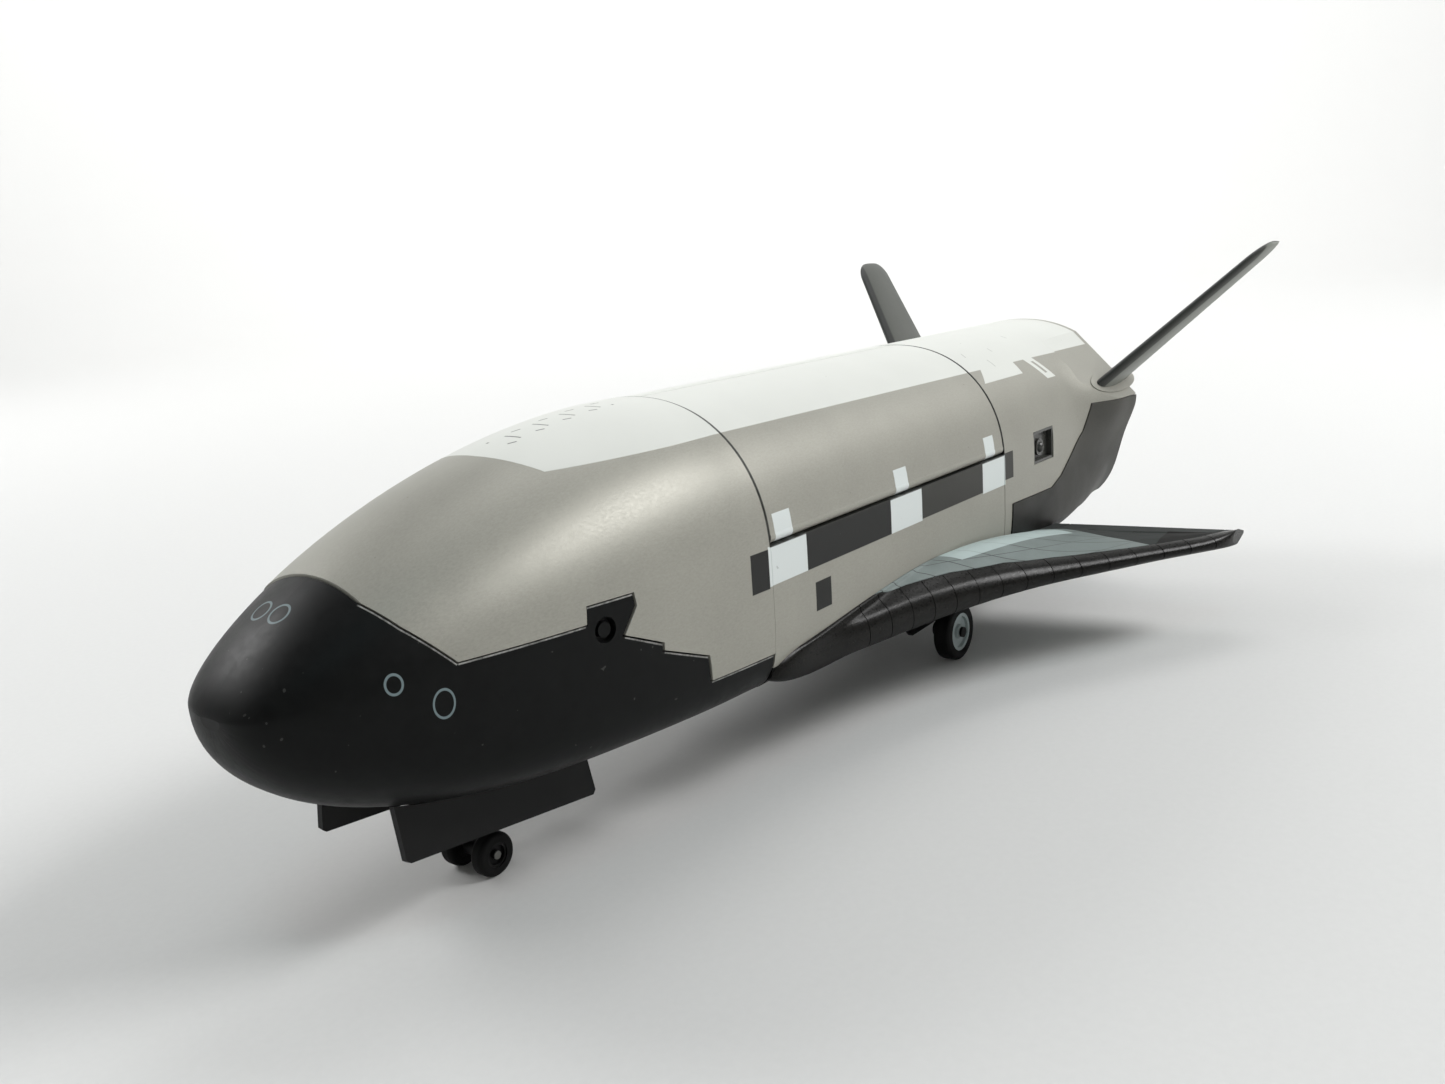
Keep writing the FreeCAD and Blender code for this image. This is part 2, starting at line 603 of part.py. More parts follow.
def build_wings():
    stations = [WING_ROOT_Y, 12.4, 13.0, 13.7, 14.8, 16.5, 19.9, 23.7, 27.8, 30.6, WING_TIP_Y]
    wing = Part.makeLoft([wing_section(y) for y in stations], True, False)
    wing = wing.cut(tube_of_body(BAY_FRONT - 0.5, BAY_REAR + 0.1, -0.02))
    wing = wing.cut(loft(AFT_STATIONS, -FAIRING_PROUD - 0.02, 1))
    wing = wing.common(box(BAY_FRONT + SEAM, 110, 0, 40, 0, 30))
    rim = BAND_INNER + [(102.5, 36.0), (40.0, 36.0)]
    band = wing.common(plan_prism(rim, 0, 30))
    panel = wing.cut(plan_prism(rim, 0, 30, 0.05))
    gaps = []
    for i in range(1, BAND_PIECES):
        gaps.append(band_gap(i / BAND_PIECES))
    band = band.cut(Part.makeCompound(gaps))
    flap = panel.common(flap_region(0.0))
    nose = flap_cone(-0.05)
    flap = flap.fuse(nose)
    start, end = flap_axis(FLAP_SPAN[0])[0], flap_axis(FLAP_SPAN[1])[0]
    along = (end - start) / (end - start).Length
    pins = []
    for tip, way in ((start, along), (end, -along)):
        pins.append(rod(tip - way * 1.2, tip + way * FLAP_PIN_DEPTH, FLAP_PIN_R))
        flap = flap.cut(rod(tip - way * 1.2, tip + way * (FLAP_PIN_DEPTH + 0.1), FLAP_PIN_R + RUNNING_GAP))
    panel = panel.cut(flap_region(0.15)).cut(flap_cone(0.10, 0.15))
    for pin in pins:
        panel = panel.cut(pin)
        band = band.cut(pin)
    save_pair("wing", panel)
    save_pair("wing_leading_edge", band)
    save_pair("flaperon", flap)
    save("flaperon_hinge_pins", *both_sides(pins))


def band_gap(t):
    """A thin cut square to the leading edge at a fraction t of the way from root to tip."""
    first, last = 50.0, 97.5
    station = first + (last - first) * t
    y = edge_y(station)
    ahead, behind = edge_y(station - 1.0), edge_y(station + 1.0)
    heading = math.atan2(behind - ahead, -2.0)
    cut = Part.makeBox(0.09, 9.0, 20, Vector(-0.045, -6.5, 0))
    cut.rotate(Vector(0, 0, 0), Vector(0, 0, 1), math.degrees(heading))
    cut.translate(at(station, y, 0))
    return cut


def edge_y(station):
    for (y0, s0), (y1, s1) in zip(LEADING_EDGE, LEADING_EDGE[1:]):
        if station <= s1:
            return y0 + (y1 - y0) * (station - s0) / (s1 - s0)
    return LEADING_EDGE[-1][0]


# ---------------------------------------------------------------- landing gear

TYRE_ROUND = 0.35


def tyre(station, z, y, radius, width, inner):
    body = rod(at(station, y - width / 2, z), at(station, y + width / 2, z), radius)
    body = body.makeFillet(TYRE_ROUND, [e for e in body.Edges if e.Closed])
    return body.cut(rod(at(station, y - width, z), at(station, y + width, z), inner))


def hub(station, z, y, outer, width, bore, dish, face):
    """A wheel disc with a dished outer face; face is +1 when that face looks to port."""
    body = rod(at(station, y - width / 2, z), at(station, y + width / 2, z), outer)
    side = y + face * width / 2
    ring_cut = rod(at(station, side, z), at(station, side - face * dish, z), outer * 0.82)
    boss = rod(at(station, side, z), at(station, side - face * dish, z), outer * 0.38)
    return body.cut(ring_cut.cut(boss)).cut(rod(at(station, y - width, z), at(station, y + width, z), bore))


def build_nose_gear():
    station, z = NOSE_WHEEL
    pivot_station, pivot_z = NOSE_PIVOT
    pivot, axle = at(pivot_station, 0, pivot_z), at(station, 0, z)
    barrel = rod(pivot - Vector(0, 2.9, 0), pivot + Vector(0, 2.9, 0), 0.8)
    down = (axle - pivot) / (axle - pivot).Length
    sleeve = rod(pivot, pivot + down * 5.6, 0.72)
    strut = rod(pivot, axle, 0.46)
    collar = rod(pivot + down * 5.2, pivot + down * 5.9, 0.9)
    foot = rod(axle - Vector(0, 0.85, 0), axle + Vector(0, 0.85, 0), 0.62)
    leg = barrel.fuse([sleeve, strut, collar, foot])
    leg = leg.cut(rod(pivot - Vector(0, 4, 0), pivot + Vector(0, 4, 0), PIN_R + RUNNING_GAP))
    leg = leg.cut(rod(axle - Vector(0, 4, 0), axle + Vector(0, 4, 0), AXLE_R + RUNNING_GAP))
    save("nose_gear_leg", leg.removeSplitter())
    end = NOSE_WHEEL_Y + NOSE_WHEEL_WIDTH / 2
    save("nose_wheel_axle", rod(at(station, -end, z), at(station, end, z), AXLE_R))
    tyres, hubs = [], []
    for side in (1, -1):
        y = side * NOSE_WHEEL_Y
        tyres.append(tyre(station, z, y, z, NOSE_WHEEL_WIDTH, 0.95))
        hubs.append(hub(station, z, y, 0.95, NOSE_WHEEL_WIDTH - 0.2, AXLE_R, 0.25, side))
    save("nose_wheel_tyres", *tyres)
    save("nose_wheel_hubs", *hubs)
    half = NOSE_WELL[2]
    return rod(at(pivot_station, -half, pivot_z), at(pivot_station, half, pivot_z), PIN_R)


def build_main_gear():
    station, z = MAIN_WHEEL
    pivot_station, pivot_z = MAIN_PIVOT
    leg_y = 7.95
    pivot, foot = at(pivot_station, leg_y, pivot_z), at(station, leg_y, z)
    down = (foot - pivot) / (foot - pivot).Length
    barrel = rod(pivot - Vector(0, 0.75, 0), pivot + Vector(0, 2.2, 0), 0.85)
    sleeve = rod(pivot, pivot + down * 4.4, 0.68)
    strut = rod(pivot, foot, 0.45)
    knuckle = rod(foot - Vector(0, 0.55, 0), foot + Vector(0, 0.55, 0), 0.75)
    leg = barrel.fuse([sleeve, strut, knuckle])
    leg = leg.cut(rod(pivot - Vector(0, 4, 0), pivot + Vector(0, 4, 0), PIN_R + RUNNING_GAP))
    axle = rod(foot - Vector(0, 0.55, 0), at(station, MAIN_WHEEL_Y + MAIN_WHEEL_WIDTH / 2 + 0.3, z), AXLE_R)
    nut_y = MAIN_WHEEL_Y + MAIN_WHEEL_WIDTH / 2
    nut = rod(at(station, nut_y + 0.04, z), at(station, nut_y + 0.3, z), 0.55)
    save_pair("main_gear_leg", leg.cut(axle).removeSplitter())
    save_pair("main_axle", axle.fuse(nut).removeSplitter())
    save_pair("main_tyre", tyre(station, z, MAIN_WHEEL_Y, z, MAIN_WHEEL_WIDTH, 2.0))
    wheel = hub(station, z, MAIN_WHEEL_Y, 2.0, MAIN_WHEEL_WIDTH - 0.1, AXLE_R + RUNNING_GAP, 0.35, 1)
    save_pair("main_hub", wheel)
    inner, outer = MAIN_WELL[2], MAIN_WELL[3]
    return rod(at(pivot_station, inner, pivot_z), at(pivot_station, outer, pivot_z), PIN_R)


NOSE_DOOR = [(9.0, 6.2), (9.3, 5.95), (26.1, 4.0), (26.4, 4.3), (26.1, 9.0), (9.0, 11.0)]
NOSE_DOOR_TILT = 9.5
MAIN_DOOR = [(72.4, 8.12), (72.6, 3.6), (73.0, 3.2), (81.4, 3.5), (82.0, 3.9), (87.4, 8.12)]
DOOR_THICK = 0.55


def build_gear_doors():
    hinge_y = NOSE_WELL[2] + 0.3
    plate = side_prism(NOSE_DOOR, hinge_y, hinge_y + DOOR_THICK)
    plate.rotate(Vector(0, hinge_y, 9.0), Vector(1, 0, 0), NOSE_DOOR_TILT)
    plate = plate.cut(loft([s for s in NOSE_STATIONS if s > 4], -0.06))
    arms = []
    for station, low in ((11.0, 8.35), (23.6, 6.9)):
        reach = box(station, station + 0.8, hinge_y - 0.85, hinge_y + 0.35, low, low + 0.7)
        post = box(station, station + 0.8, hinge_y - 0.85, hinge_y - 0.35, low, 11.2)
        arms.extend([reach, post])
    door = plate.fuse(arms).removeSplitter()
    save_pair("nose_gear_door", door)

    inner = MAIN_WELL[2]
    door = side_prism(MAIN_DOOR, inner - 0.6, inner - 0.6 + DOOR_THICK)
    arms = []
    for station in (73.0, 84.0):
        reach = box(station, station + 0.9, inner - 0.3, inner + 0.32, 7.3, 8.0)
        post = box(station, station + 0.9, inner + 0.04, inner + 0.32, 7.3, 10.4)
        arms.extend([reach, post])
    save_pair("main_gear_door", door.fuse(arms).removeSplitter())


def main():
    os.makedirs("parts", exist_ok=True)
    build_forward_body()
    build_bay()
    build_aft_body()
    build_belly()
    build_tail_end()
    build_fins()
    build_wings()
    nose_pin = build_nose_gear()
    main_pin = build_main_gear()
    save("gear_pivot_pins", nose_pin, *both_sides([main_pin]))
    build_gear_doors()


main()
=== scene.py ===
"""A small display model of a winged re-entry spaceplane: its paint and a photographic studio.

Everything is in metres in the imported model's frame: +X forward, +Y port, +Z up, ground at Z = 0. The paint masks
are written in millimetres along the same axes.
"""

import bmesh
import bpy
import json
import math
from mathutils import Matrix, Vector

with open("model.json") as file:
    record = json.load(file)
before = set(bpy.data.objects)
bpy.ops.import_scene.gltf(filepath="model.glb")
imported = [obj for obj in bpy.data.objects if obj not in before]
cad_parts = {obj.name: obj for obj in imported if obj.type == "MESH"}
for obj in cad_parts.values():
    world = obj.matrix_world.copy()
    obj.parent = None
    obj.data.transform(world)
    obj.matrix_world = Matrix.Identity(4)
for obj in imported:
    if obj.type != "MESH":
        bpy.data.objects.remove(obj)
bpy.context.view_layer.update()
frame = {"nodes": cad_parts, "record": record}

MM = 0.001
NODES = frame["nodes"]
SLOT_OF = {part["node"]: part["material_slot"] for part in frame["record"]["subparts"]}


# ---------------------------------------------------------------- paint graphs

class Paint:
    """One procedural material. Its sums take numbers or sockets, and its places are in millimetres."""

    def __init__(self, name):
        self.material = bpy.data.materials.new(name)
        self.material.use_nodes = True
        self.tree = self.material.node_tree
        self.surface = self.tree.nodes["Principled BSDF"]
        metres = self.node("ShaderNodeTexCoord").outputs["Object"]
        self.place = self.node("ShaderNodeVectorMath", metres, (1 / MM,) * 3, operation="MULTIPLY").outputs[0]
        self.x, self.y, self.z = self.node("ShaderNodeSeparateXYZ", self.place).outputs
        self.out = self.math("ABSOLUTE", self.y)

    def join(self, value, socket):
        if isinstance(value, bpy.types.NodeSocket):
            self.tree.links.new(value, socket)
        elif value is not None:
            socket.default_value = value

    def node(self, kind, *inputs, **settings):
        made = self.tree.nodes.new(kind)
        for key, value in settings.items():
            setattr(made, key, value)
        for value, socket in zip(inputs, made.inputs):
            self.join(value, socket)
        return made

    # sums

    def math(self, operation, a, b=None, c=None):
        return self.node("ShaderNodeMath", a, b, c, operation=operation).outputs[0]

    def plus(self, a, b):
        return self.math("ADD", a, b)

    def minus(self, a, b):
        return self.math("SUBTRACT", a, b)

    def times(self, a, b):
        return self.math("MULTIPLY", a, b)

    def line(self, factor, value, offset):
        """factor * value + offset"""
        return self.math("MULTIPLY_ADD", value, factor, offset)

    def sloped(self, u, factor, v, offset=0.0):
        """u + factor * v + offset: the distance of u from a line that leans with v."""
        return self.plus(u, self.line(factor, v, offset))

    def span(self, value, low, high, to_low, to_high):
        return self.node("ShaderNodeMapRange", value, low, high, to_low, to_high).outputs[0]

    def level(self, share, a, b):
        """Number a, turning to b as share goes from 0 to 1."""
        return self.span(share, 0.0, 1.0, a, b)

    # masks: 1 inside and 0 outside, fading over soft millimetres

    def inside(self, distance, soft=0.03):
        """Where a signed distance is negative."""
        ramp = self.node("ShaderNodeMapRange", distance, soft, -soft, 0.0, 1.0, interpolation_type="SMOOTHSTEP")
        return ramp.outputs[0]

    def above(self, value, edge, soft=0.03):
        return self.inside(self.minus(edge, value), soft)

    def off_band(self, value, low, high):
        """Signed distance outside the band from low to high."""
        from_middle = self.math("ABSOLUTE", self.minus(value, (low + high) / 2))
        return self.minus(from_middle, (high - low) / 2)

    def rect(self, u, v, u_span, v_span, soft=0.03):
        return self.inside(self.math("MAXIMUM", self.off_band(u, *u_span), self.off_band(v, *v_span)), soft)

    def rects(self, u, v, spans):
        return self.either(*[self.rect(u, v, u_span, v_span) for u_span, v_span in spans])

    def stroke(self, u, v, start, end, width, soft=0.03):
        """A straight stroke between two (u, v) points."""
        du, dv = end[0] - start[0], end[1] - start[1]
        length = math.hypot(du, dv)
        along = self.plus(self.line(du / length, u, -start[0] * du / length),
                          self.line(dv / length, v, -start[1] * dv / length))
        across = self.plus(self.line(-dv / length, u, start[0] * dv / length),
                           self.line(du / length, v, -start[1] * du / length))
        return self.rect(along, across, (0, length), (-width / 2, width / 2), soft)

    def stripes(self, value, spacing, width, soft):
        """A thin stripe at every whole number of spacings."""
        return self.inside(self.minus(self.math("PINGPONG", value, spacing / 2), width / 2), soft)

    def ring(self, centre, radius, width, narrow=1.0):
        """A painted ring, made narrower along X when narrow is below 1."""
        place = self.place
        if narrow != 1.0:
            place = self.node("ShaderNodeVectorMath", place, (1 / narrow, 1, 1), operation="MULTIPLY").outputs[0]
        centre = (centre[0] / narrow, centre[1], centre[2])
        away = self.node("ShaderNodeVectorMath", place, centre, operation="DISTANCE").outputs["Value"]
        gap = self.math("ABSOLUTE", self.minus(away, radius))
        return self.inside(self.minus(gap, width / 2), 0.02)

    def both(self, *masks):
        total = masks[0]
        for mask in masks[1:]:
            total = self.math("MINIMUM", total, mask)
        return total

    def either(self, *masks):
        total = masks[0]
        for mask in masks[1:]:
            total = self.math("MAXIMUM", total, mask)
        return total

    def without(self, a, b):
        return self.times(a, self.minus(1.0, b))

    # variation

    def noise(self, per_mm, detail, rough, stretch=None):
        place = self.place
        if stretch:
            place = self.node("ShaderNodeVectorMath", place, stretch, operation="MULTIPLY").outputs[0]
        made = self.node("ShaderNodeTexNoise")
        for name, value in (("Vector", place), ("Scale", per_mm), ("Detail", detail), ("Roughness", rough)):
            self.join(value, made.inputs[name])
        return made.outputs["Fac"]

    def vary(self, noise, low, high):
        """Noise, most of which lies between 0.3 and 0.7, spread from low to high."""
        return self.span(noise, 0.3, 0.7, low, high)

    def blend(self, share, a, b):
        """Colour a, turning to b as share goes from 0 to 1."""
        mixer = self.tree.nodes.new("ShaderNodeMix")
        mixer.data_type = "RGBA"
        self.join(share, mixer.inputs[0])
        self.join(full(a), mixer.inputs[6])
        self.join(full(b), mixer.inputs[7])
        return mixer.outputs[2]

    def tint(self, colour, factor):
        """A colour made lighter or darker by a factor."""
        scaled = self.node("ShaderNodeVectorMath", full(colour, 3), operation="SCALE")
        self.join(factor, scaled.inputs["Scale"])
        return scaled.outputs[0]

    def mottled(self, colour, cloud, slow, grain, fine):
        """A colour that varies slowly with cloud and finely with grain, each by a (low, high) pair."""
        return self.tint(colour, self.plus(self.vary(cloud, *slow), self.vary(grain, *fine)))

    def bump(self, height, depth_mm):
        made = self.node("ShaderNodeBump")
        made.inputs["Strength"].default_value = 1.0
        made.inputs["Distance"].default_value = depth_mm * MM
        self.join(height, made.inputs["Height"])
        return made.outputs[0]

    def finish(self, colour, rough, normal=None, metallic=0.0, gloss=0.5):
        self.join(full(colour), self.surface.inputs["Base Color"])
        self.join(rough, self.surface.inputs["Roughness"])
        self.join(metallic, self.surface.inputs["Metallic"])
        self.join(normal, self.surface.inputs["Normal"])
        self.surface.inputs["Specular IOR Level"].default_value = gloss
        return self.material


def full(colour, size=4):
    """A colour as the socket wants it: three or four numbers, or a socket as it is."""
    if isinstance(colour, tuple):
        return tuple(colour[:3]) + (1.0,) * (size - 3)
    return colour


# ---------------------------------------------------------------- colours

GREY = (0.330, 0.322, 0.282)
WHITE = (0.68, 0.69, 0.65)
MARK_WHITE = (0.66, 0.70, 0.69)
MARK_BLACK = (0.006, 0.006, 0.005)
MARK_FADED = (0.026, 0.025, 0.021)
SHELL_SPECK = (0.13, 0.125, 0.11)
# painted shade for the bay door seams
SEAM_SHADE = (0.016, 0.016, 0.014)
SHIELD_BLACK = (0.0036, 0.0040, 0.0039)
SHIELD_DUST = (0.16, 0.16, 0.15)
RING_BLUE = (0.17, 0.22, 0.23)
# painted highlight on the lip of the grey shell's stepped edge
LIP_GLINT_GREY = (0.36, 0.36, 0.34)
WING_GREY = (0.180, 0.212, 0.205)
WING_DARK = (0.013, 0.013, 0.012)
PALE_PATCH = (0.43, 0.51, 0.50)
EDGE_BROWN = (0.0050, 0.0046, 0.0038)
# fin faces: the upper one painted darker as shade, the under one lighter as painted light
FIN_UPPER_SHADED = (0.083, 0.087, 0.077)
FIN_LOWER_LIT = (0.215, 0.225, 0.200)
FIN_EDGE = (0.012, 0.013, 0.012)
TAUPE = (0.060, 0.058, 0.051)
# painted shade on the fairings, darker low and to the front
FAIRING_SHADE = (0.009, 0.009, 0.008)


# ---------------------------------------------------------------- body shell

CROWN_FRONT = 41.45
CROWN_REAR = -50.9
CROWN_LOW_Z = 25.0
SIDE_OUT = 11.0

# rectangles on the sides, as x and z spans
WHITE_BLOCKS = [((18.4, 23.85), (17.75, 20.97)), ((-1.0, 4.75), (17.75, 20.97)), ((-19.0, -13.75), (17.75, 20.97)),
                ((20.2, 22.6), (20.9, 23.35)), ((1.3, 3.6), (20.9, 23.35)), ((-16.75, -14.6), (20.9, 23.35))]
BLACK_BLOCKS = [((23.85, 26.1), (17.62, 20.8)), ((4.75, 18.4), (17.75, 20.9)), ((15.05, 17.4), (13.95, 16.45))]
FADED_BLOCKS = [((-13.75, -1.0), (17.9, 20.97)), ((-21.0, -19.0), (18.2, 21.05))]

VENT_ROWS, VENT_FRONT, VENT_STEP = 4, 37.6, 2.9
VENT_DOTS = [(38.95, -0.93), (27.6, 1.28)]
REAR_TICKS = [((-22.1, 6.4), (-21.8, 7.1)), ((-25.0, 8.0), (-25.2, 8.9)), ((-28.2, 6.5), (-28.2, 7.1)),
              ((-35.3, 4.8), (-35.4, 5.5))]

# where shade is painted round the bay doors: x spans of the front and rear seams, z span of the sill
FRONT_SEAM = (23.24, 23.62)
REAR_SEAM = (-19.03, -18.64)
SILL_SEAM = (20.84, 21.04)
SEAM_SOFT = 0.05


def white_crown(p):
    """The white top, with a stepped patch and a slotted strip leaning down behind the bay."""
    edge = p.math("MINIMUM", p.line(0.0075, p.x, 29.60), p.line(-0.0122, p.x, 30.08))
    front = p.line(-0.038, p.times(p.y, p.y), CROWN_FRONT)
    crown = p.both(p.above(p.z, edge), p.above(front, p.x), p.above(p.x, CROWN_REAR))
    slant = p.sloped(p.x, 1.15, p.z, -1.15 * 28.9)
    patch = p.both(p.rect(p.x, p.z, (-29.5, -20.0), (28.15, 30.0)), p.above(-21.0, slant))
    lean = p.sloped(p.x, -0.95, p.z, 0.95 * 29.4)
    strip = p.rect(lean, p.z, (-34.3, -32.1), (27.0, 30.2))
    slot = p.rect(lean, p.z, (-33.55, -32.95), (27.6, 29.0))
    return p.either(crown, patch, p.without(strip, slot))


def crown_vents(p):
    """Rows of small black dashes near the front of the white top."""
    marks = []
    for row in range(VENT_ROWS):
        at = VENT_FRONT - VENT_STEP * row
        marks.append(p.rect(p.x, p.y, (at - 0.07, at + 0.07), (-0.62, 1.10), 0.04))
        marks.append(p.stroke(p.x, p.y, (at + 1.35, 1.10), (at + 0.75, 1.42), 0.16, 0.06))
        marks.append(p.stroke(p.x, p.y, (at - 0.95, -0.92), (at - 1.65, -0.66), 0.16, 0.06))
    for x, y in VENT_DOTS:
        marks.append(p.stroke(p.x, p.y, (x, y), (x + 0.22, y), 0.2, 0.05))
    return p.both(p.either(*marks), p.above(p.z, CROWN_LOW_Z))


def rear_ticks(p):
    marks = [p.stroke(p.x, p.out, start, end, 0.12, 0.06) for start, end in REAR_TICKS]
    return p.both(p.either(*marks), p.above(p.z, CROWN_LOW_Z))


def bay_seam_shade(p, sides):
    """Painted shade in the seams round the bay doors and along the sill below them."""
    arcs = p.either(p.rect(p.x, p.z, FRONT_SEAM, (0, 40), SEAM_SOFT), p.rect(p.x, p.z, REAR_SEAM, (0, 40), SEAM_SOFT))
    sill = p.rect(p.x, p.z, (-18.9, 23.5), SILL_SEAM, SEAM_SOFT)
    return p.either(p.both(arcs, p.above(p.z, 20.9)), p.both(sill, sides))


def painted_shell():
    """Satin grey paint with a metallic grain, the white crown, the painted markings, and painted shade along the bay
    door seams.
    """
    p = Paint("shell_grey_paint")
    sides = p.above(p.out, SIDE_OUT)
    white = white_crown(p)
    light, dark, faded = [p.both(p.rects(p.x, p.z, spans), sides)
                          for spans in (WHITE_BLOCKS, BLACK_BLOCKS, FADED_BLOCKS)]
    grain = p.noise(7.0, 3.0, 0.7, (0.45, 1, 1))
    cloud = p.noise(0.16, 2.0, 0.5)
    colour = p.mottled(GREY, cloud, (0.97, 1.03), grain, (-0.08, 0.07))
    colour = p.blend(white, colour, p.tint(WHITE, p.vary(cloud, 0.985, 1.01)))
    colour = p.blend(light, colour, MARK_WHITE)
    colour = p.blend(dark, colour, MARK_BLACK)
    colour = p.blend(faded, colour, MARK_FADED)
    colour = p.blend(p.times(crown_vents(p), 0.92), colour, MARK_BLACK)
    colour = p.blend(p.times(rear_ticks(p), 0.45), colour, MARK_FADED)
    specks = p.above(p.noise(1.3, 2.0, 0.6), 0.77, 0.012)
    colour = p.blend(p.times(specks, 0.35), colour, SHELL_SPECK)
    # painted shade: a dark line along the bay door seams and the sill, broken up by noise
    seam_shade_breakup = p.span(p.noise(1.1, 2.0, 0.6), 0.3, 0.6, 0.88, 1.0)
    colour = p.blend(p.times(bay_seam_shade(p, sides), seam_shade_breakup), colour, SEAM_SHADE)

    any_mark = p.either(white, light, dark, faded)
    rough = p.level(any_mark, p.vary(grain, 0.38, 0.50), 0.46)
    metallic = p.level(any_mark, 0.25, 0.0)
    raised = p.plus(p.times(grain, 0.40), any_mark)
    return p.finish(colour, rough, p.bump(raised, 0.012), metallic, gloss=0.35)


# ---------------------------------------------------------------- heat shield

# painted highlight along the lip of the grey shell's stepped lower edge, as (x, z) strokes
LIP_GLINTS = [((55.99, 24.1), (54.98, 22.59)), ((54.98, 22.59), (52.5, 19.83)), ((52.4, 19.83), (42.9, 19.73)),
        ((42.55, 20.98), (38.5, 20.93)), ((39.6, 18.1), (36.1, 16.55)), ((36.0, 15.95), (31.5, 14.22)),
        ((31.1, 12.12), (23.6, 11.92))]
LIP_GLINT_WIDTH = 0.11

# painted rings: centre, radius, line width, narrowing; those off the middle are on both sides
TOP_RINGS = [((58.65, -1.5, 23.7), 0.75, 0.16, 1.0), ((58.65, 0.5, 23.7), 0.75, 0.16, 1.0)]
SIDE_RINGS = [((56.45, 8.1, 19.6), 0.62, 0.17, 0.85), ((53.65, 9.1, 17.6), 0.93, 0.17, 0.74)]


def shield_black():
    """Satin black moulded plastic: faint grain, dust, a pale painted highlight along the lip under the grey shell,
    broken up by noise, and pale nose rings.
    """
    p = Paint("shield_black_satin")
    grain = p.noise(7.0, 3.0, 0.6)
    dust = p.noise(0.9, 4.0, 0.7)
    colour = p.tint(SHIELD_BLACK, p.vary(dust, 0.75, 1.3))
    specks = p.above(p.noise(1.9, 1.0, 0.5), 0.775, 0.012)
    colour = p.blend(p.times(specks, 0.22), colour, SHIELD_DUST)
    # painted highlight: a pale stroke along each lip of the stepped edge, broken up by noise
    lip_glints = p.either(*[p.stroke(p.x, p.z, start, end, LIP_GLINT_WIDTH, 0.04) for start, end in LIP_GLINTS])
    glint_breakup = p.span(p.noise(2.2, 3.0, 0.7), 0.35, 0.62, 0.35, 1.0)
    colour = p.blend(p.times(lip_glints, glint_breakup), colour, LIP_GLINT_GREY)
    rings = [p.ring(*spec) for spec in TOP_RINGS]
    for (x, y, z), *shape in SIDE_RINGS:
        rings += [p.ring((x, y, z), *shape), p.ring((x, -y, z), *shape)]
    ring = p.either(*rings)
    colour = p.blend(ring, colour, RING_BLUE)
    rough = p.plus(p.vary(dust, 0.36, 0.46), p.times(grain, 0.04))
    height = p.plus(p.times(grain, 0.4), ring)
    return p.finish(colour, rough, p.bump(height, 0.006), gloss=0.13)


# ---------------------------------------------------------------- wings and tail

WING_TOP_Z = 10.3
JOINT_WIDTH = 0.12
TILE_COLUMN, TILE_ROW = 3.6, 3.2
EDGE_UNDER_Z = 9.2
COS_45 = 0.7071


def wing_tiles():
    """Blue-grey tiles with thin diagonal joints, a pale patch by the body, a dark tip and dark flaps."""
    p = Paint("wing_tile_satin")
    x, out = p.x, p.out
    cloud = p.noise(0.35, 3.0, 0.6)
    grain = p.noise(6.0, 3.0, 0.6)
    top = p.above(p.z, WING_TOP_Z, 0.1)

    slant = p.sloped(x, 1.08, out, -14.04)
    joints = [p.stripes(p.minus(1.1, slant), TILE_COLUMN, JOINT_WIDTH, 0.04)]
    for place in (6.8, 4.7):
        joints.append(p.rect(slant, out, (place - JOINT_WIDTH / 2, place + JOINT_WIDTH / 2), (12.0, 16.0)))
    joints.append(p.stripes(p.sloped(out, 0.33, x), TILE_ROW, 0.05, 0.035))
    joint = p.times(p.either(*joints), top)

    by_body = p.above(p.line(-0.18, x, 13.62), out)
    behind_front = p.above(-3.94, p.sloped(x, 0.883, out, -11.51))
    ahead_of_flap = p.above(p.sloped(x, -0.309, out), -29.82)
    pale = p.both(by_body, behind_front, ahead_of_flap, top)
    flap = p.both(p.above(-30.2, p.sloped(x, -0.21, out)), top)
    tip = p.both(p.above(p.sloped(out, -0.145, x), 30.12), p.above(x, -33.2), top)

    colour = p.mottled(WING_GREY, cloud, (0.90, 1.10), grain, (-0.03, 0.03))
    colour = p.blend(pale, colour, p.tint(PALE_PATCH, p.vary(cloud, 0.94, 1.04)))
    colour = p.blend(p.times(flap, 0.88), colour, WING_DARK)
    colour = p.blend(tip, colour, WING_DARK)
    colour = p.blend(p.times(joint, p.level(pale, 0.85, 0.3)), colour, WING_DARK)
    height = p.minus(p.times(grain, 0.3), joint)
    rough = p.plus(p.vary(cloud, 0.42, 0.52), p.times(p.either(tip, flap), 0.35))
    return p.finish(colour, rough, p.bump(height, 0.012), gloss=0.22)


def edge_tiles():
    """Glossy brown-black leading-edge tiles with a coarse metallic sparkle; rougher underneath, where the colour is
    also painted darker as shade.
    """
    p = Paint("edge_tile_gloss")
    grain = p.noise(4.5, 4.0, 0.7)
    cloud = p.noise(0.6, 3.0, 0.6)
    under = p.inside(p.minus(p.z, EDGE_UNDER_Z), 0.9)
    colour = p.tint(EDGE_BROWN, p.plus(p.vary(cloud, 0.8, 1.15), p.span(grain, 0.35, 0.65, -0.25, 0.25)))
    # painted shade: the colour is darker underneath
    colour = p.tint(colour, p.level(under, 1.0, 0.35))
    rough = p.plus(p.span(grain, 0.35, 0.65, 0.25, 0.37), p.times(under, 0.45))
    return p.finish(colour, rough, p.bump(grain, 0.005), gloss=0.16)


